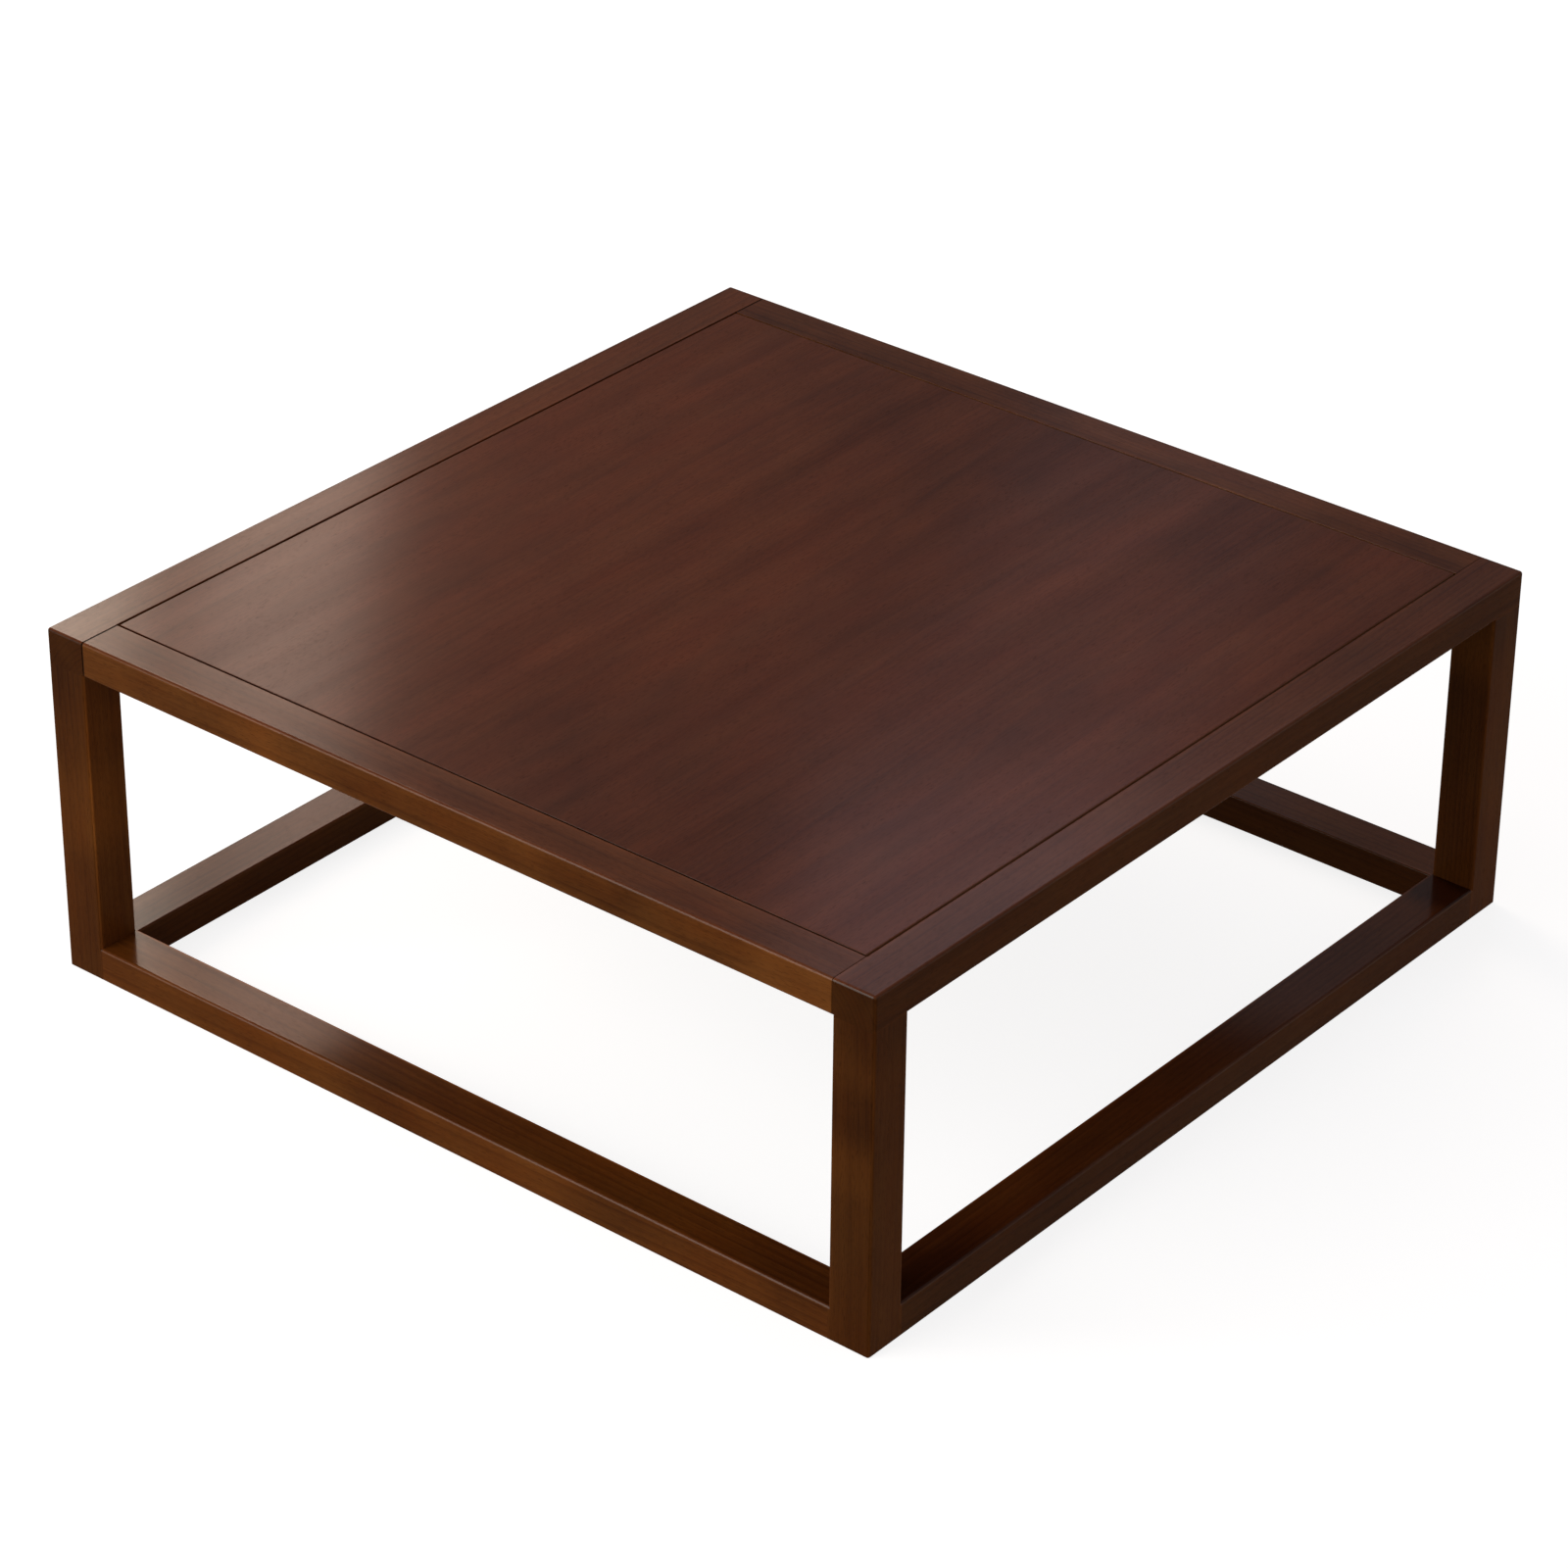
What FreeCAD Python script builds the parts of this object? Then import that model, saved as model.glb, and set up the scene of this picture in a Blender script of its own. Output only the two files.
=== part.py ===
import FreeCAD, Part
import os
from FreeCAD import Vector

# Low square table: an open cube of slim square members under a framed, panelled top.
# Millimetres, +Z up, origin on the floor under the middle of the top. Front is -Y, right is +X.
# Two stiles run the full depth of the top, two rails are tenoned between them, and the panel of
# boards floats in their grooves on dovetailed battens. Legs stand under the stiles' ends, and four
# low rails on the floor tie the legs together.

# Driving dimensions of the frame
table_width = 800.0
table_depth = 800.0
table_height = 300.0
leg_side = 37.0             # square legs, and the width of the top frame that they carry
top_frame_height = 29.5
low_rail_height = 28.5
low_rail_lip = 2.0          # low rails stand this far inside the legs' inner faces

# Driving dimensions of the edges
arris_radius = 2.5          # outer edges, rounded over on the assembled frame
inner_arris = 1.5           # edges towards the inside of the frame
gap_ease = 0.6              # edges on both sides of the shadow gap round the panel
foot_ease = 1.0             # chamfer where the frame meets the floor
joint_line = 0.8            # chamfer round the top rails' shoulders, seen as a fine line

# Driving dimensions of the panel
board_count = 6
board_thickness = 16.0
side_gap = 2.0              # shadow gap beside the stiles, where the panel swells
end_gap = 1.5               # shadow gap beside the top rails
groove_drop = 5.0           # top face down to the frame's groove and tenons
groove_depth = 8.0
tongue_thickness = 6.0
tongue_side_play = 2.0      # room in the stiles' grooves for the panel to swell
tongue_end_play = 1.0       # room in the top rails' grooves
spline_thickness = 4.0
spline_width = 16.0
spline_setback = 30.0       # splines stop short of the boards' ends

# Driving dimensions of the battens under the panel
batten_count = 3
batten_width = 40.0
batten_recess = 1.0         # battens stay this far above the frame's underside
batten_tenon_length = 16.0
batten_tenon_width = 28.0
batten_shoulder = 1.5       # wood above and below a batten's tenon
dovetail_neck = 22.0
dovetail_spread = 2.0       # the ridge is wider than its neck by this on each side
dovetail_height = 4.5

# Driving dimensions of the frame's joints
rail_tenon_length = 24.0
rail_tenon_thickness = 8.0
end_relish = 10.0           # wood between a rail's mortise and the stile's end
tenon_wall = 3.0            # wood between a rail's tenon and its neighbours
leg_tenon_side = 18.0
low_tenon_thickness = 12.0
low_tenon_height = 16.0
mitre_gap = 0.5             # air between two low tenons that meet inside a leg
fit_clearance = 0.1         # each side of a tenon, tongue, spline or dovetail
mortise_end_gap = 0.5       # air beyond a tenon's end

# Places that follow from the frame
half_width = table_width / 2
half_depth = table_depth / 2
leg_top = table_height - top_frame_height
inner_x = half_width - leg_side         # inner faces of the legs and stiles
inner_y = half_depth - leg_side         # inner faces of the legs and top rails
well_x = inner_x - low_rail_lip         # inner faces of the side low rails
well_y = inner_y - low_rail_lip         # inner faces of the front and back low rails
leg_axis_x = half_width - leg_side / 2
leg_axis_y = half_depth - leg_side / 2

# Places that follow from the panel
panel_x = inner_x - side_gap
panel_y = inner_y - end_gap
board_width = 2 * panel_x / board_count
board_low = table_height - board_thickness
tongue_high = table_height - groove_drop
tongue_low = tongue_high - tongue_thickness
spline_middle = (board_low + dovetail_height + table_height) / 2
batten_low = leg_top + batten_recess

# Sizes that follow from the joints
rail_tenon_outer = half_depth - end_relish
rail_tenon_inner = inner_y + groove_depth + tenon_wall
rail_tenon_low = tongue_high - rail_tenon_thickness
leg_tenon_top = rail_tenon_low - tenon_wall
low_tenon_bottom = (low_rail_height - low_tenon_height) / 2
low_tenon_top = low_tenon_bottom + low_tenon_height

touch = 0.001               # how close counts as lying on a plane


def block(x, y, z):
    return Part.makeBox(x[1] - x[0], y[1] - y[0], z[1] - z[0], Vector(x[0], y[0], z[0]))


def grown(span, by):
    return (span[0] - by, span[1] + by)


def prism(points, along):
    return Part.Face(Part.makePolygon(points + points[:1])).extrude(along)


def mirrored(shape, normal):
    return shape.mirror(Vector(0, 0, 0), normal)


def round_over(start, end, into_a, into_b, radius):
    # waste of a rounded edge: the square corner outside a quarter round, along a straight edge
    centre = start + (into_a + into_b) * radius
    side_a = start + into_a * radius
    side_b = start + into_b * radius
    middle = centre - (into_a + into_b).normalize() * radius
    outline = [
        Part.LineSegment(start, side_a).toShape(),
        Part.Arc(side_a, middle, side_b).toShape(),
        Part.LineSegment(side_b, start).toShape(),
    ]
    return Part.Face(Part.Wire(outline)).extrude(end - start)


def square_ring(hole_x, hole_y, height):
    outer = block((-half_width, half_width), (-half_depth, half_depth), height)
    return outer.cut(block((-hole_x, hole_x), (-hole_y, hole_y), height))


def leg_blank():
    return block((inner_x, half_width), (-half_depth, -inner_y), (0, leg_top))


def all_corners(shape):
    pair = [shape, mirrored(shape, Vector(1, 0, 0))]
    return pair + [mirrored(piece, Vector(0, 1, 0)) for piece in pair]


def on_outer_face(edge):
    middle = edge.CenterOfMass
    return abs(abs(middle.x) - half_width) < touch or abs(abs(middle.y) - half_depth) < touch


def on_foot(edge):
    middle = edge.CenterOfMass
    outside = abs(middle.x) > well_x + touch or abs(middle.y) > well_y + touch
    return outside and abs(middle.z) < touch


def assembled_frame():
    # the whole frame in one, rounded over as it is after gluing up, to be parted into its members
    frame = square_ring(inner_x, inner_y, (leg_top, table_height))
    frame = frame.fuse([square_ring(well_x, well_y, (0, low_rail_height))] + all_corners(leg_blank()))
    frame = frame.removeSplitter()
    frame = frame.makeFillet(arris_radius, [e for e in frame.Edges if on_outer_face(e) and not on_foot(e)])
    return frame.makeChamfer(foot_ease, [e for e in frame.Edges if on_foot(e)])


def low_tenon_plan(fit, gap):
    # plan of the front low rail's right tenon: its end is mitred against the side rail's tenon
    reach = low_tenon_thickness / 2
    return [
        Vector(inner_x, -leg_axis_y - reach - fit, 0),
        Vector(leg_axis_x + reach + fit - gap, -leg_axis_y - reach - fit, 0),
        Vector(leg_axis_x - reach - fit - gap, -leg_axis_y + reach + fit, 0),
        Vector(inner_x, -leg_axis_y + reach + fit, 0),
    ]


def swapped_about_leg(points):
    # the same plan for the side rail: mirrored in the diagonal through the leg's axis
    return [Vector(leg_axis_x - leg_axis_y - p.y, leg_axis_x - leg_axis_y - p.x, 0) for p in points]


def low_tenon(plan, fit):
    bottom = low_tenon_bottom - fit
    top = low_tenon_top + fit
    return prism([p + Vector(0, 0, bottom) for p in plan], Vector(0, 0, top - bottom))


def front_right_leg(frame):
    leg = frame.common(leg_blank())
    inner_edge = Vector(inner_x, -inner_y, 0)
    leg = leg.cut(round_over(inner_edge, inner_edge + Vector(0, 0, leg_top),
                             Vector(1, 0, 0), Vector(0, -1, 0), inner_arris))
    plan = low_tenon_plan(fit_clearance, 0)
    leg = leg.cut([low_tenon(plan, fit_clearance), low_tenon(swapped_about_leg(plan), fit_clearance)])
    return leg.fuse(leg_tenon(0, leg_tenon_top))


def leg_tenon(fit, top):
    reach = leg_tenon_side / 2 + fit
    return block((leg_axis_x - reach, leg_axis_x + reach),
                 (-leg_axis_y - reach, -leg_axis_y + reach), (leg_top, top))


def low_rail_ends():
    # plan corners at the right end of the front low rail: shoulder on the leg, then the mitred lip
    return [Vector(inner_x, -half_depth, 0), Vector(inner_x, -inner_y, 0), Vector(well_x, -well_y, 0)]


def front_low_rail(frame):
    right = low_rail_ends()
    left = [Vector(-p.x, p.y, 0) for p in reversed(right)]
    rail = frame.common(prism(right + left, Vector(0, 0, low_rail_height)))
    inner_edge = Vector(-inner_x, -well_y, low_rail_height)
    rail = rail.cut(round_over(inner_edge, inner_edge + Vector(2 * inner_x, 0, 0),
                               Vector(0, -1, 0), Vector(0, 0, -1), inner_arris))
    tenon = low_tenon(low_tenon_plan(0, mitre_gap), 0)
    return rail.fuse([tenon, mirrored(tenon, Vector(1, 0, 0))])


def right_low_rail(frame):
    front = [Vector(half_width, -inner_y, 0), Vector(inner_x, -inner_y, 0), Vector(well_x, -well_y, 0)]
    back = [Vector(p.x, -p.y, 0) for p in reversed(front)]
    rail = frame.common(prism(front + back, Vector(0, 0, low_rail_height)))
    inner_edge = Vector(well_x, -inner_y, low_rail_height)
    rail = rail.cut(round_over(inner_edge, inner_edge + Vector(0, 2 * inner_y, 0),
                               Vector(1, 0, 0), Vector(0, 0, -1), inner_arris))
    tenon = low_tenon(swapped_about_leg(low_tenon_plan(0, mitre_gap)), 0)
    return rail.fuse([tenon, mirrored(tenon, Vector(0, 1, 0))])


def rail_tenon(fit, end):
    # the front top rail's right tenon, level with the top of the panel's groove
    y = grown((-rail_tenon_outer, -rail_tenon_inner), fit)
    z = grown((rail_tenon_low, tongue_high), fit)
    return block((inner_x, inner_x + rail_tenon_length + end), y, z)


def inner_edges(start, end, into):
    # a top frame member's inner edges: eased beside the shadow gap, rounded underneath
    up = Vector(0, 0, 1)
    top = up * table_height
    bottom = up * leg_top
    return [round_over(start + top, end + top, into, -up, gap_ease),
            round_over(start + bottom, end + bottom, into, up, inner_arris)]


def front_top_rail(frame):
    rail = frame.common(block((-inner_x, inner_x), (-half_depth, -inner_y), (leg_top, table_height)))
    shoulders = [e for e in rail.Edges if abs(abs(e.CenterOfMass.x) - inner_x) < touch]
    rail = rail.makeChamfer(joint_line, shoulders)
    groove = block((-inner_x, inner_x), (-inner_y - groove_depth, -inner_y),
                   grown((tongue_low, tongue_high), fit_clearance))
    edges = inner_edges(Vector(-inner_x, -inner_y, 0), Vector(inner_x, -inner_y, 0), Vector(0, -1, 0))
    tenon = rail_tenon(0, 0)
    return rail.cut([groove] + edges).fuse([tenon, mirrored(tenon, Vector(1, 0, 0))])


def right_stile(frame):
    stile = frame.common(block((inner_x, half_width), (-half_depth, half_depth), (leg_top, table_height)))
    groove = block((inner_x, inner_x + groove_depth), (-inner_y, inner_y),
                   grown((tongue_low, tongue_high), fit_clearance))
    edges = inner_edges(Vector(inner_x, -inner_y, 0), Vector(inner_x, inner_y, 0), Vector(1, 0, 0))
    front = [rail_tenon(fit_clearance, mortise_end_gap),
             leg_tenon(fit_clearance, leg_tenon_top + mortise_end_gap)]
    back = [mirrored(mortise, Vector(0, 1, 0)) for mortise in front]
    battens = [batten_tenon(y, fit_clearance, mortise_end_gap) for y in batten_places()]
    return stile.cut([groove] + edges + front + back + battens)


def batten_places():
    spacing = 2 * inner_y / (batten_count + 1)
    return [-inner_y + spacing * (i + 1) for i in range(batten_count)]


def batten_tenon(y, fit, end):
    reach = batten_tenon_width / 2
    height = (batten_low + batten_shoulder, board_low - batten_shoulder)
    return block((inner_x, inner_x + batten_tenon_length + end),
                 grown((y - reach, y + reach), fit), grown(height, fit))


def dovetail(y, fit):
    # ridge along the batten: a trapezium that widens upwards, also the cutter for the boards' slot
    neck = dovetail_neck / 2 + fit
    crown = neck + dovetail_spread
    top = board_low + dovetail_height + fit
    outline = [
        Vector(-panel_x, y - neck, board_low),
        Vector(-panel_x, y + neck, board_low),
        Vector(-panel_x, y + crown, top),
        Vector(-panel_x, y - crown, top),
    ]
    return prism(outline, Vector(2 * panel_x, 0, 0))


def batten(y):
    side = (y - batten_width / 2, y + batten_width / 2)
    bar = block((-inner_x, inner_x), side, (batten_low, board_low))
    run = Vector(2 * inner_x, 0, 0)
    edges = []
    for place, into in zip(side, (Vector(0, 1, 0), Vector(0, -1, 0))):
        start = Vector(-inner_x, place, batten_low)
        edges.append(round_over(start, start + run, into, Vector(0, 0, 1), inner_arris))
    tenon = batten_tenon(y, 0, 0)
    return bar.cut(edges).fuse([dovetail(y, 0), tenon, mirrored(tenon, Vector(1, 0, 0))])


def spline(x, fit):
    reach = spline_width / 2
    length = panel_y - spline_setback
    height = (spline_middle - spline_thickness / 2, spline_middle + spline_thickness / 2)
    return block(grown((x - reach, x + reach), fit), grown((-length, length), fit), grown(height, fit))


def board_joints():
    return [-panel_x + board_width * (i + 1) for i in range(board_count - 1)]


def top_board(number):
    # boards run front to back; the first and last also have a tongue along the stile
    left = -panel_x + board_width * number
    right = left + board_width
    board = block((left, right), (-panel_y, panel_y), (board_low, table_height))
    board = board.makeFillet(gap_ease, [e for e in board.Edges if on_panel_rim(e)])
    tongue_reach = inner_y + groove_depth - tongue_end_play
    tongues = [block((left, right), (-tongue_reach, tongue_reach), (tongue_low, tongue_high))]
    side_reach = inner_x + groove_depth - tongue_side_play
    if number == 0:
        tongues.append(block((-side_reach, -panel_x), (-panel_y, panel_y), (tongue_low, tongue_high)))
    if number == board_count - 1:
        tongues.append(block((panel_x, side_reach), (-panel_y, panel_y), (tongue_low, tongue_high)))
    slots = [dovetail(y, fit_clearance) for y in batten_places()]
    grooves = [spline(x, fit_clearance) for x in board_joints()]
    return board.fuse(tongues).cut(slots + grooves).removeSplitter()


def on_panel_rim(edge):
    middle = edge.CenterOfMass
    rim = abs(abs(middle.x) - panel_x) < touch or abs(abs(middle.y) - panel_y) < touch
    return rim and abs(middle.z - table_height) < touch


def table():
    frame = assembled_frame()
    leg = front_right_leg(frame)
    stile = right_stile(frame)
    top_rail = front_top_rail(frame)
    front_rail = front_low_rail(frame)
    side_rail = right_low_rail(frame)
    to_left = Vector(1, 0, 0)
    to_back = Vector(0, 1, 0)
    pieces = {
        "front_right_leg": leg,
        "front_left_leg": mirrored(leg, to_left),
        "back_right_leg": mirrored(leg, to_back),
        "back_left_leg": mirrored(mirrored(leg, to_left), to_back),
        "right_stile": stile,
        "left_stile": mirrored(stile, to_left),
        "front_top_rail": top_rail,
        "back_top_rail": mirrored(top_rail, to_back),
        "front_low_rail": front_rail,
        "back_low_rail": mirrored(front_rail, to_back),
        "right_low_rail": side_rail,
        "left_low_rail": mirrored(side_rail, to_left),
    }
    for number in range(board_count):
        pieces[f"top_board_{number + 1}"] = top_board(number)
    for number, x in enumerate(board_joints()):
        pieces[f"board_spline_{number + 1}"] = spline(x, 0)
    for number, y in enumerate(batten_places()):
        pieces[f"batten_{number + 1}"] = batten(y)
    return pieces


os.makedirs("parts", exist_ok=True)
for name, shape in table().items():
    shape.exportStep(f"parts/{name}.step")
    print(name, len(shape.Solids), "solid,", round(shape.Volume), "mm3, valid:", shape.isValid())
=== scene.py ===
import math

import bpy
from mathutils import Matrix, Vector


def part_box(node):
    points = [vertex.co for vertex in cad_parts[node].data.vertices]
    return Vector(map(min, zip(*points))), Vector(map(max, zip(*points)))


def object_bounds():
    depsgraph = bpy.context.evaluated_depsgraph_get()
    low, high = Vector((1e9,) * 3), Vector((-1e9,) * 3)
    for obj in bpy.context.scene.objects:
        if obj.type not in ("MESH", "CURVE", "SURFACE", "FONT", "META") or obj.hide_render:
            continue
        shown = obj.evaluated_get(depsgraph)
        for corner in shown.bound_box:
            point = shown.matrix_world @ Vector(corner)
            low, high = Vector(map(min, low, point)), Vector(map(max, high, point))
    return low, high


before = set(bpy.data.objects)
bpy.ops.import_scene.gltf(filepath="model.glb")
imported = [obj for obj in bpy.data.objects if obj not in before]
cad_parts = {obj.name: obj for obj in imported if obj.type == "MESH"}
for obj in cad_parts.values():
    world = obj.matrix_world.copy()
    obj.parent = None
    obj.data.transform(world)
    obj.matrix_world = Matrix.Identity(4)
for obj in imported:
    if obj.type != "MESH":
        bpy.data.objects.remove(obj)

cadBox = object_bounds()
tableMiddle = (cadBox[0] + cadBox[1]) / 2
print("frame loaded:", len(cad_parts), "pieces")


def screenColour(red, green, blue):             # 0 to 255 as on a screen, made linear for Blender
    parts = [part / 255 for part in (red, green, blue)]
    return [p / 12.92 if p < 0.04045 else ((p + 0.055) / 1.055) ** 2.4 for p in parts]


def asColour(colour):
    return colour if isinstance(colour, Wire) else (*colour, 1)


def setStops(ramp, stops):
    while len(ramp.elements) < len(stops):
        ramp.elements.new(1)
    for element, (place, colour) in zip(ramp.elements, stops):
        element.position = place
        element.color = asColour(colour)


def clearSheet(owner):                          # an empty node tree, for a material or a world
    owner.use_nodes = True
    owner.node_tree.nodes.clear()
    return Wire(owner.node_tree)


def putInScene(name, data):
    made = bpy.data.objects.new(name, data)
    bpy.context.scene.collection.objects.link(made)
    return made


class Wire:                                     # one output of a node, so that shader maths reads as maths
    def __init__(self, tree, socket=None):
        self.tree = tree
        self.socket = socket

    def node(self, kind, settings=None, inputs=None, out=0):    # any node: settings first, then its sockets
        made = self.tree.nodes.new("ShaderNode" + kind)
        for key, value in (settings or {}).items():
            if key == "stops":
                setStops(made.color_ramp, value)
            else:
                setattr(made, key, value)
        for key, value in (inputs or {}).items():
            if isinstance(value, Wire):
                self.tree.links.new(value.socket, made.inputs[key])
            else:
                made.inputs[key].default_value = value
        return Wire(self.tree, made.outputs[out] if made.outputs else None)

    def out(self, name):                        # another output of the same node
        return Wire(self.tree, self.socket.node.outputs[name])

    def maths(self, operation, *values):
        return self.node("Math", {"operation": operation}, dict(enumerate(values)))

    def __add__(self, other):
        return self.maths("ADD", self, other)

    def __radd__(self, other):
        return self.maths("ADD", other, self)

    def __sub__(self, other):
        return self.maths("SUBTRACT", self, other)

    def __rsub__(self, other):
        return self.maths("SUBTRACT", other, self)

    def __mul__(self, other):
        return self.maths("MULTIPLY", self, other)

    def __rmul__(self, other):
        return self.maths("MULTIPLY", other, self)

    def __truediv__(self, other):
        return self.maths("DIVIDE", self, other)

    def __rtruediv__(self, other):
        return self.maths("DIVIDE", other, self)

    def __abs__(self):
        return self.maths("ABSOLUTE", self)

    def rise(self, low, high):                  # 0 below low, 1 above high, a soft step between
        settings = {"interpolation_type": "SMOOTHSTEP"}
        return self.node("MapRange", settings, {"Value": self, "From Min": low, "From Max": high})

    def fall(self, low, high):                  # 1 below low, 0 above high
        return 1 - self.rise(low, high)

    def stretch(self, along, across):           # a place in the wood, scaled along the grain and across it
        return self.node("VectorMath", {"operation": "MULTIPLY"}, {0: self, 1: (along, across, across)})

    def noise(self, along, across, detail, roughness):          # 0 to 1, drawn out along the grain
        place = self.stretch(along, across)
        sockets = {"Vector": place, "Scale": 1, "Detail": detail, "Roughness": roughness}
        return self.node("TexNoise", None, sockets)

    def uneven(self, *scales):                  # the same noise, above and below zero
        return self.noise(*scales) - 0.5

    def blend(self, kind, first, second, share):        # 0, 6, 7 and 2: a Mix node's colour sockets
        settings = {"data_type": "RGBA", "blend_type": kind, "clamp_factor": True}
        return self.node("Mix", settings, {0: share, 6: asColour(first), 7: asColour(second)}, out=2)

    def between(self, first, second):           # two colours, mixed by this value
        return self.blend("MIX", first, second, self)

    def towards(self, other, share):            # this colour, mixed with another
        return self.blend("MIX", self, other, share)

    def tinted(self, tint, share=1):            # this colour, times another
        return self.blend("MULTIPLY", self, tint, share)


# stained wood under lacquer, with painted shade and painted light worked into its colour

stain = {
    "light": screenColour(112, 64, 25),         # between the grain lines
    "deep": screenColour(60, 29, 9),            # in the late wood
    "pore": screenColour(22, 10, 4),
    "warm": (1, 0.8, 0.6),                      # it drifts between these two hues
    "plum": (1, 1.2, 1.4),
    "fibreDepth": 0.4,
    "poreShare": 0.55,
    "bandCore": 0.2,                            # the share of a band's reach that has its full amount
    "shadePoolCore": 0.3,
}
woodGrain = {                                   # noise: times per metre along and across, detail, roughness
    "wander": (1.6, 6, 2, 0.5),
    "streaks": (0.9, 42, 3, 0.5),
    "fibres": (16, 900, 2, 0.6),
    "clouds": (3.5, 9, 2, 0.5),
    "mottle": (13, 26, 3, 0.55),
    "drift": (11, 31, 3, 0.55),
    "cells": (110, 1500),                       # one pore in each
    "poreEdge": (0.16, 0.34),                   # from a cell's middle
    "poresLost": 0.6,                           # towards the end of a ring
    "lateStart": (0.3, 0.9),                    # where late wood begins and ends in a ring
    "lateEnd": (0.9, 1),
    "palestRing": 0.4,
    "nextSeed": (3.7, 1.3, -2.1),               # metres from one seed's wood to the next one's
}
turned = {                                      # how far a face has to turn that way, from none to all
    "up": (0.3, 0.85),
    "lacquered": (0.12, 0.5),
    "cutEnd": (0.6, 0.9),
    "facingAcross": (0.5, 0.9),
}
edgeWearAndHighlight = {"arris": (0.0006, 0.0035), "inside": (-0.004, 0.004), "amount": 0.8, "cloudy": 0.9}
seamLine = {"edge": (0.0009, 0.0024), "leftToRight": (-0.01, 0.01)}
lacquer = {
    "topCoat": 0.5,
    "sideCoat": 0.012,
    "gloss": 0.152,
    "satin": 0.48,
    "baseShine": 0.012,
    "poreLoss": 0.45,                           # pores and deep stain take from the coat
    "streakLoss": 0.4,
    "cloudLoss": 0.3,
    "fibreRough": 0.12,
    "poreRough": 0.2,
    "poreDepth": 0.00012,
    "fibreRelief": 0.25,
    "relief": 0.5,
}
grainAxes = {"x": "XYZ", "y": "YXZ", "z": "ZXY"}                # along the grain, then across it twice


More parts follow.
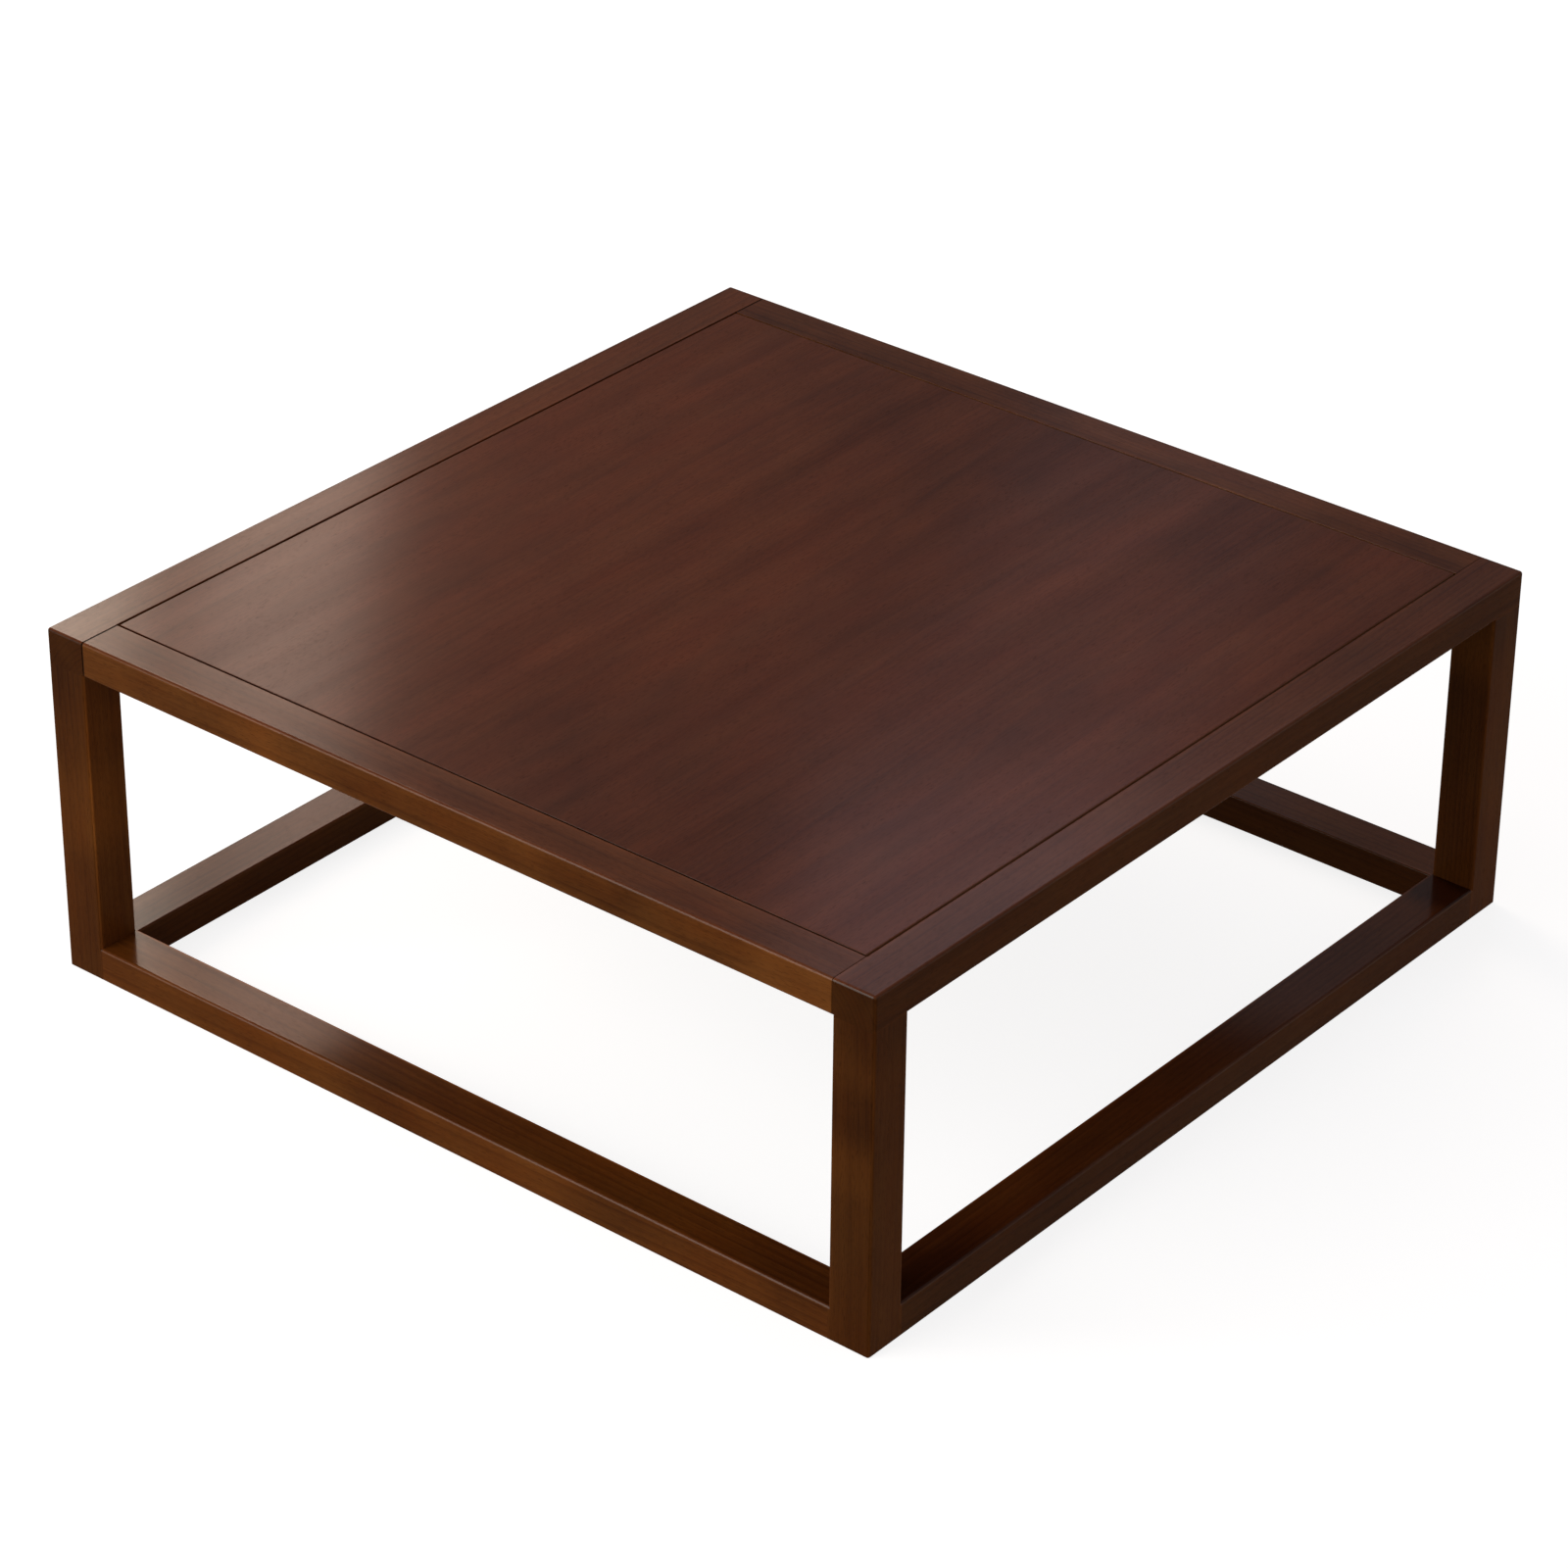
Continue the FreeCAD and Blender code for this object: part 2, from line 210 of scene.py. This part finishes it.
def stainedWoodAndShade(name, node, look):
    material = bpy.data.materials.new(name)
    sheet = clearSheet(material)
    low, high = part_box(node)
    middle = (low + high) / 2
    axes = grainAxes[look["grain"]]
    numbers = ["XYZ".index(axis) for axis in axes]

    # where a point is in the board: along the grain, and across it from the board's middle
    place = sheet.node("SeparateXYZ", None, {0: sheet.node("TexCoord", out="Object")})
    spots = [place.out(axis) for axis in axes]
    length, across, through = [spot - middle[number] for spot, number in zip(spots, numbers)]
    moved = [spot + look["seed"] * step for spot, step in zip(spots, woodGrain["nextSeed"])]
    grain = sheet.node("CombineXYZ", None, dict(enumerate(moved)))

    # growth rings round a pith outside the board, wandering and leaning a little
    pithAcross, pithThrough = look["pith"]
    fromPith = across - pithAcross + look["lean"] * length
    belowPith = through - pithThrough
    spread = sheet.maths("SQRT", fromPith * fromPith + belowPith * belowPith)
    rings = (spread + look["wander"] * grain.uneven(*woodGrain["wander"])) / look["ringGap"]
    ringPart = sheet.maths("FRACT", rings)
    ringDark = sheet.node("TexWhiteNoise", {"noise_dimensions": "1D"}, {"W": sheet.maths("FLOOR", rings)})
    lateWood = ringPart.rise(*woodGrain["lateStart"]) * ringPart.fall(*woodGrain["lateEnd"])
    lateWood = lateWood * (woodGrain["palestRing"] + (1 - woodGrain["palestRing"]) * ringDark)

    # streaks, fibres, stain clouds and pores, all drawn out along the grain
    streaks = grain.uneven(*woodGrain["streaks"])
    fibres = grain.uneven(*woodGrain["fibres"])
    clouds = grain.uneven(*woodGrain["clouds"])
    mottle = grain.uneven(*woodGrain["mottle"])
    drift = grain.noise(*woodGrain["drift"]).between(stain["warm"], stain["plum"])
    cells = {"Vector": grain.stretch(*woodGrain["cells"]), "Scale": 1, "Randomness": 1}
    fromCellMiddle = sheet.node("TexVoronoi", {"feature": "F1"}, cells)
    pores = fromCellMiddle.fall(*woodGrain["poreEdge"]) * (1 - woodGrain["poresLost"] * ringPart)

    # which way the surface faces
    facing = sheet.node("SeparateXYZ", None, {0: sheet.node("NewGeometry", out="Normal")})
    faceUp = facing.out("Z").rise(*turned["up"])
    lacquered = facing.out("Z").rise(*turned["lacquered"])
    cutEnd = abs(facing.out(axes[0])).rise(*turned["cutEnd"])
    facingAcross = abs(facing.out(axes[1])).rise(*turned["facingAcross"])

    # how dark the wood is: the stain's depth, with painted shade added below at the leg heads and in the
    # shade pools
    depth = look["depth"] + look["figure"] * lateWood + look["streaky"] * streaks
    depth = depth + stain["fibreDepth"] * fibres + look["cloudy"] * clouds + look["mottled"] * mottle
    if "headShade" in look:                        # painted shade: darker at the head, under the top frame
        headStart, headFull, amount = look["headShade"]
        depth = depth + amount * spots[0].rise(headStart, headFull)
    for key, faces in (("bands", 1 - faceUp), ("flatBands", 1 - facingAcross)):
        for bandAt, reach, amount in look.get(key, []):         # deeper or paler lengths of its sides
            fromBand = abs(spots[0] - bandAt)
            depth = depth + amount * fromBand.fall(stain["bandCore"] * reach, reach) * faces
    for poolX, poolY, reach, amount in look["shadePools"]:           # painted shade: darker pools on what faces up, toward the back and beside the legs
        fromX = place.out("X") - poolX
        fromY = place.out("Y") - poolY
        fromPool = sheet.maths("SQRT", fromX * fromX + fromY * fromY)
        depth = depth + amount * fromPool.fall(stain["shadePoolCore"] * reach, reach) * faceUp

    # colour
    tones = {}
    for key in ("light", "deep", "pore"):
        tones[key] = [look["tone"] * part * tint for part, tint in zip(stain[key], look["tint"])]
    colour = depth.between(tones["light"], tones["deep"])
    colour = colour.towards(tones["pore"], stain["poreShare"] * pores)
    colour = colour.tinted(drift)
    colour = colour.tinted([look["endGrain"]] * 3, cutEnd)
    # what faces up is tinted, partly a painted reflection in the colour of its sheen
    colour = colour.tinted(look["topTintAndSheen"], faceUp)
    # painted light and shade: faces across the grain made lighter or darker as the light falls on them
    if look["crossFaceShade"] != 1:
        crossFaceShadeTint = [look["crossFaceShade"] * part for part in look.get("crossFaceShadeTint", (1, 1, 1))]
        colour = colour.tinted(crossFaceShadeTint, facingAcross)
    if look["arris"] != 1:                      # paler arrises: worn stain, and on the low rails' inner arrises a painted highlight
        halfAcross, halfThrough = [(high - low)[number] / 2 for number in numbers[1:]]
        fromArris = sheet.maths("MAXIMUM", halfAcross - abs(across), halfThrough - abs(through))
        wearAndHighlight = fromArris.fall(*edgeWearAndHighlight["arris"]) * (edgeWearAndHighlight["amount"] + edgeWearAndHighlight["cloudy"] * clouds)
        if look["paleInsideOnly"]:                # only on the edges towards the middle of the table
            outwards = math.copysign(1, middle[numbers[1]])
            wearAndHighlight = wearAndHighlight * (across * outwards).fall(*edgeWearAndHighlight["inside"])
        colour = colour.tinted([look["arris"]] * 3, wearAndHighlight)

    # lacquer: a polished coat on what faces up, thinner at the sides
    topCoat = lacquer["topCoat"] * look["polish"]
    coat = lacquer["sideCoat"] + (topCoat - lacquer["sideCoat"]) * lacquered
    coat = coat * (1 - lacquer["poreLoss"] * pores)
    coat = coat * (1 - lacquer["streakLoss"] * streaks - lacquer["cloudLoss"] * clouds)
    if "seams" in look:                         # stain held in the joints at both ends, with no sheen on it
        onLeft, onRight, shoulder = look["seams"]
        strength = onLeft + (onRight - onLeft) * length.rise(*seamLine["leftToRight"])
        seam = (shoulder - abs(length)).fall(*seamLine["edge"]) * strength
        colour = colour.towards(tones["pore"], seam)
        coat = coat * (1 - seam)
    satin = lacquer["satin"] + lacquer["fibreRough"] * fibres + lacquer["poreRough"] * pores
    bump = sheet.node("Bump", None, {
        "Strength": lacquer["relief"], "Distance": lacquer["poreDepth"],
        "Height": lacquer["fibreRelief"] * fibres - pores,
    })
    surface = sheet.node("BsdfPrincipled", None, {
        "Base Color": colour, "Roughness": satin, "Normal": bump,
        "Specular IOR Level": lacquer["baseShine"],
        "Coat Weight": coat, "Coat Roughness": lacquer["gloss"],
    })
    sheet.node("OutputMaterial", None, {"Surface": surface})
    return material


def dress(piece):                               # wood for each node, with its own tone and pith
    for number, (node, tone) in enumerate(piece["tones"].items()):
        look = dict(piece, tone=tone)
        look.update(piece.get("own", {}).get(node, {}))
        look["seed"] = piece["seed"] + piece.get("seedStep", 1) * number
        look["pith"] = piece["piths"][number % len(piece["piths"])]
        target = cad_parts[node]
        target.material_slots[0].material = stainedWoodAndShade(node + "_finish", node, look)
    print("dressed:", ", ".join(piece["tones"]))


# bands are middle, reach and amount along a member, shade pools (painted shade) are x, y, reach and amount

legs = {
    "tones": {"front_left_leg": 0.7, "front_right_leg": 0.65,
              "back_left_leg": 0.65, "back_right_leg": 0.76},
    "slot": "leg_wood", "grain": "z", "seed": 11, "tint": (1, 1, 0.95), "topTintAndSheen": (1, 0.84, 1),
    "piths": [(0.06, 0.03), (-0.04, 0.07), (0.05, -0.06), (-0.07, -0.02)],
    "ringGap": 0.0042, "wander": 0.016, "lean": 0.02, "figure": 0.16, "streaky": 0.5, "depth": 0.5,
    "cloudy": 0.7, "mottled": 0.5, "shadePools": [], "endGrain": 0.4,
    # painted shade at the head of each leg, under the top frame
    "headShade": (0.215, 0.27, 0.24),
    "polish": 1, "arris": 1.25, "paleInsideOnly": False, "crossFaceShade": 1.85,
    "own": {
        # painted light on this leg's inner face, across the grain
        "front_left_leg": {"crossFaceShade": 2.5, "bands": [(0.15, 0.06, -0.35)]},
        "front_right_leg": {"flatBands": [(0.2, 0.035, 0.25), (0.15, 0.03, -0.25)]},
        # painted light: a paler head on this leg's inner face
        "back_right_leg": {"crossFaceShade": 1.6, "flatBands": [(0.26, 0.06, -0.8)]},
    },
}
dress(legs)

stiles = {
    "tones": {"left_stile": 0.93, "right_stile": 0.95},
    "slot": "top_frame_wood", "grain": "y", "seed": 21, "tint": (1, 0.97, 0.9), "topTintAndSheen": (1, 0.84, 1),
    "piths": [(0.05, -0.05), (-0.06, -0.04)],
    "ringGap": 0.004, "wander": 0.018, "lean": 0.015, "figure": 0.2, "streaky": 0.6, "depth": 0.42,
    "cloudy": 0.6, "mottled": 0.5, "endGrain": 0.44,
    # painted shade toward the back of the stiles
    "shadePools": [(0.38, 0.36, 0.3, 0.2), (-0.2, 0.39, 0.34, 0.28)],
    "polish": 1, "arris": 1.25, "paleInsideOnly": False, "crossFaceShade": 0.88,
    "own": {"left_stile": {"polish": 0.94}},
}
dress(stiles)

topRails = dict(
    stiles, tones={"front_top_rail": 0.89, "back_top_rail": 0.86},
    grain="x", seed=25, tint=(1, 1.07, 1.22), topTintAndSheen=(1, 0.8, 0.8),
    mottled=1, polish=0.85, crossFaceShade=1.12,
    seams=(1, 0.1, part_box("right_stile")[0].x),         # left, right, where the rails meet the stiles
    own={"front_top_rail": {"bands": [(0.15, 0.07, 0.28), (0.34, 0.08, -0.38), (-0.15, 0.06, -0.15)]}},
)
dress(topRails)

# painted light on the low rails: a painted highlight on the inner arrises, tops tinted toward their sheen,
# and painted shade beside the front right leg
lowRails = {
    "tones": {"front_low_rail": 0.95, "back_low_rail": 0.68},
    "slot": "low_rail_wood", "grain": "x", "seed": 31, "tint": (1, 1, 1), "topTintAndSheen": (1.28, 1.18, 0.88),
    "piths": [(0.05, -0.05), (-0.06, -0.04)],
    "ringGap": 0.0044, "wander": 0.018, "lean": 0.02, "figure": 0.2, "streaky": 0.6, "depth": 0.48,
    "cloudy": 0.7, "mottled": 0.6, "shadePools": [(0.38, -0.38, 0.2, 0.4)], "endGrain": 0.4,
    "polish": 0.9, "arris": 3, "paleInsideOnly": True, "crossFaceShade": 1.12,
    "own": {
        "front_low_rail": {"bands": [(0.06, 0.13, -0.36), (-0.15, 0.07, -0.25), (0.34, 0.06, 0.2)]},
        # painted shade on the back low rail's inner face
        "back_low_rail": {"crossFaceShade": 0.7, "arris": 1.3},
    },
}
dress(lowRails)

sideLowRails = dict(
    lowRails, tones={"left_low_rail": 0.74, "right_low_rail": 0.67},
    grain="y", seed=35, topTintAndSheen=(1.1, 0.9, 0.8), crossFaceShade=1.4,
    own={
        "left_low_rail": {"arris": 1.3},
        # the right low rail's second shade pool is a painted shadow beside the back right leg
        "right_low_rail": {"crossFaceShade": 1.3,
                           "shadePools": [(0.38, -0.38, 0.2, 0.4), (0.38, 0.365, 0.06, 0.8)]},
    },
)
dress(sideLowRails)

topBoards = {
    "tones": {"top_board_1": 0.9, "top_board_2": 0.9, "top_board_3": 0.9,
              "top_board_4": 0.84, "top_board_5": 0.92, "top_board_6": 0.96},
    "slot": "panel_wood", "grain": "y", "seed": 41, "seedStep": 0,      # streaks run on over the boards
    "tint": (1, 0.84, 0.75), "topTintAndSheen": (1, 0.84, 1),
    "piths": [(0.02, -0.09), (-0.05, -0.07), (0.07, -0.1), (-0.02, -0.11), (0.09, -0.06), (-0.04, -0.08)],
    "ringGap": 0.0055, "wander": 0.03, "lean": 0.03, "figure": 0.12, "streaky": 0.5, "depth": 0.45,
    "cloudy": 0.4, "mottled": 0.5, "endGrain": 0.4,
    # painted shade in the pools, and painted light on the groove walls beside the panel, lighter and bluer
    # across the grain
    "shadePools": [(0.11, -0.31, 0.24, 0.14), (-0.1, 0.42, 0.38, 0.22), (0.34, 0.36, 0.26, 0.2)],
    "polish": 0.9, "arris": 1, "crossFaceShade": 2.4, "crossFaceShadeTint": (1, 1.8, 5),
}
dress(topBoards)

battens = {
    "tones": {f"batten_{number}": 0.9 for number in (1, 2, 3)},
    "slot": "batten_wood", "grain": "x", "seed": 51, "tint": (1, 1, 1), "topTintAndSheen": (1, 1, 1),
    "piths": [(0.03, 0.06), (-0.05, 0.05), (0.02, 0.08)],
    "ringGap": 0.0045, "wander": 0.02, "lean": 0.02, "figure": 0.35, "streaky": 0.8, "depth": 0.45,
    "cloudy": 0.4, "mottled": 0.4, "shadePools": [], "endGrain": 0.4,
    "polish": 0.3, "arris": 1.2, "paleInsideOnly": False, "crossFaceShade": 1,
}
dress(battens)

splines = {
    "tones": {f"board_spline_{number}": 1.6 for number in (1, 2, 3, 4, 5)},
    "slot": "spline_wood", "grain": "y", "seed": 61, "tint": (1.1, 1.25, 1.4), "topTintAndSheen": (1, 1, 1),
    "piths": [(0.04, 0.03)],
    "ringGap": 0.003, "wander": 0.01, "lean": 0.01, "figure": 0.4, "streaky": 0.8, "depth": 0.3,
    "cloudy": 0.4, "mottled": 0.3, "shadePools": [], "endGrain": 0.4,
    "polish": 0, "arris": 1, "crossFaceShade": 1,
}
dress(splines)


# floor, lamps and surroundings

floorLook = {"side": 40, "pale": (0.4, 0.4, 0.4), "bounce": (0.38, 0.38, 0.38), "lift": 0.83}


def layFloor():
    half = floorLook["side"] / 2
    corners = [(-half, -half, 0), (half, -half, 0), (half, half, 0), (-half, half, 0)]
    mesh = bpy.data.meshes.new("floor")
    mesh.from_pydata(corners, [], [(0, 1, 2, 3)])
    floor = putInScene("floor", mesh)
    material = bpy.data.materials.new("pale_floor")
    sheet = clearSheet(material)
    # white to the eye and in reflections, grey where it lights the table
    path = sheet.node("LightPath", out="Is Camera Ray")
    seen = sheet.maths("MAXIMUM", path, path.out("Is Glossy Ray"))
    seen = sheet.maths("MAXIMUM", seen, path.out("Is Transmission Ray"))
    bounce = sheet.node("BsdfDiffuse", None, {"Color": asColour(floorLook["bounce"])})
    pale = sheet.node("BsdfDiffuse", None, {"Color": asColour(floorLook["pale"])})
    lift = sheet.node("Emission", None, {"Color": (1, 1, 1, 1), "Strength": floorLook["lift"]})
    white = sheet.node("AddShader", None, {0: pale, 1: lift})
    surface = sheet.node("MixShader", None, {0: seen, 1: bounce, 2: white})
    sheet.node("OutputMaterial", None, {"Surface": surface})
    mesh.materials.append(material)


layFloor()

softboxes = {                                   # turn is in plan from +X, glow is how bright its face is
    "key": {"turn": 249, "height": 1.7, "reach": 3.5, "slide": 0, "width": 2.75,
            "tall": 3.2, "lean": 0, "glow": 3.6, "colour": (1.0, 0.95, 0.88)},
    "narrowPane": {"turn": 157.3, "height": 1.7, "reach": 2.75, "slide": -0.6385, "width": 0.231,
                   "tall": 1.6, "lean": -22.4, "glow": 4.05, "colour": (1.0, 0.77, 0.63)},
    "widePane": {"turn": 157.3, "height": 1.7, "reach": 2.75, "slide": -0.0405, "width": 0.803,
                 "tall": 1.6, "lean": -22.4, "glow": 6.7, "colour": (1.0, 0.82, 0.665)},
    "cool": {"turn": 117, "height": 2.79, "reach": 2.68, "slide": 0, "width": 1.3,
             "tall": 1.3, "lean": 0, "glow": 0.8, "colour": (0.63, 0.77, 1.0)},
    "coolLow": {"turn": 121, "height": 1.81, "reach": 2.82, "slide": 0, "width": 0.39,
                "tall": 0.8, "lean": -22, "glow": 0.22, "colour": (0.63, 0.77, 1.0)},
}


def standSoftbox(name, box):                    # it faces the table, and leans and slides in its own plane
    data = bpy.data.lights.new(name, "AREA")
    data.shape = "RECTANGLE"
    data.size = box["width"]
    data.size_y = box["tall"]
    data.color = box["colour"]
    data.energy = box["glow"] * math.pi * box["width"] * box["tall"]
    lamp = putInScene(name, data)
    turn = math.radians(box["turn"])
    place = Vector((math.cos(turn) * box["reach"], math.sin(turn) * box["reach"], box["height"]))
    facing = (place - tableMiddle).to_track_quat("Z", "Y").to_matrix().to_4x4()
    leaning = Matrix.Rotation(math.radians(box["lean"]), 4, "Z")
    sliding = Matrix.Translation((box["slide"], 0, 0))
    lamp.matrix_world = Matrix.Translation(place) @ facing @ leaning @ sliding
    lamp.visible_camera = False


for boxName, box in softboxes.items():
    standSoftbox(boxName + "_softbox", box)

surroundings = {                                # how far up, then the colour there
    "horizon": (0, (0.5, 0.5, 0.5)),
    "low": (0.2, (0.25, 0.23, 0.22)),
    "wall": (0.42, (0.25, 0.225, 0.225)),
    "ceiling": (1, (0.33, 0.315, 0.33)),
}


def paintSurroundings():                        # a quiet room: pale horizon, dim walls, paler ceiling
    world = bpy.data.worlds.new("room")
    bpy.context.scene.world = world
    sheet = clearSheet(world)
    direction = sheet.node("SeparateXYZ", None, {0: sheet.node("TexCoord", out="Generated")})
    ramp = sheet.node("ValToRGB", {"stops": list(surroundings.values())}, {0: direction.out("Z")})
    background = sheet.node("Background", None, {"Color": ramp, "Strength": 1})
    sheet.node("OutputWorld", None, {"Surface": background})


paintSurroundings()
print("floor, lamps and room stand")


# the camera stands where the photograph was taken

photoCamera = {
    "turn": 39.3, "tilt": 30.3142, "roll": 0.5187, "reach": 4.09268,
    "slideRight": -0.00645, "slideUp": -0.01169, "lens": 120.977, "sensor": 36,
}


def placeCamera():
    turn = math.radians(photoCamera["turn"])
    tilt = math.radians(photoCamera["tilt"])
    roll = math.radians(photoCamera["roll"])
    back = Vector((math.sin(turn) * math.cos(tilt), -math.cos(turn) * math.cos(tilt), math.sin(tilt)))
    level = Vector((math.cos(turn), math.sin(turn), 0))
    upright = back.cross(level)
    right = level * math.cos(roll) + upright * math.sin(roll)
    up = upright * math.cos(roll) - level * math.sin(roll)
    place = tableMiddle + back * photoCamera["reach"]
    place = place + right * photoCamera["slideRight"] + up * photoCamera["slideUp"]
    data = bpy.data.cameras.new("photo_camera")
    data.lens = photoCamera["lens"]
    data.sensor_width = photoCamera["sensor"]
    camera = putInScene("photo_camera", data)
    camera.matrix_world = Matrix.Translation(place) @ Matrix((right, up, back)).transposed().to_4x4()
    bpy.context.scene.camera = camera


placeCamera()
bpy.context.scene.view_settings.view_transform = "Standard"
print("camera stands")
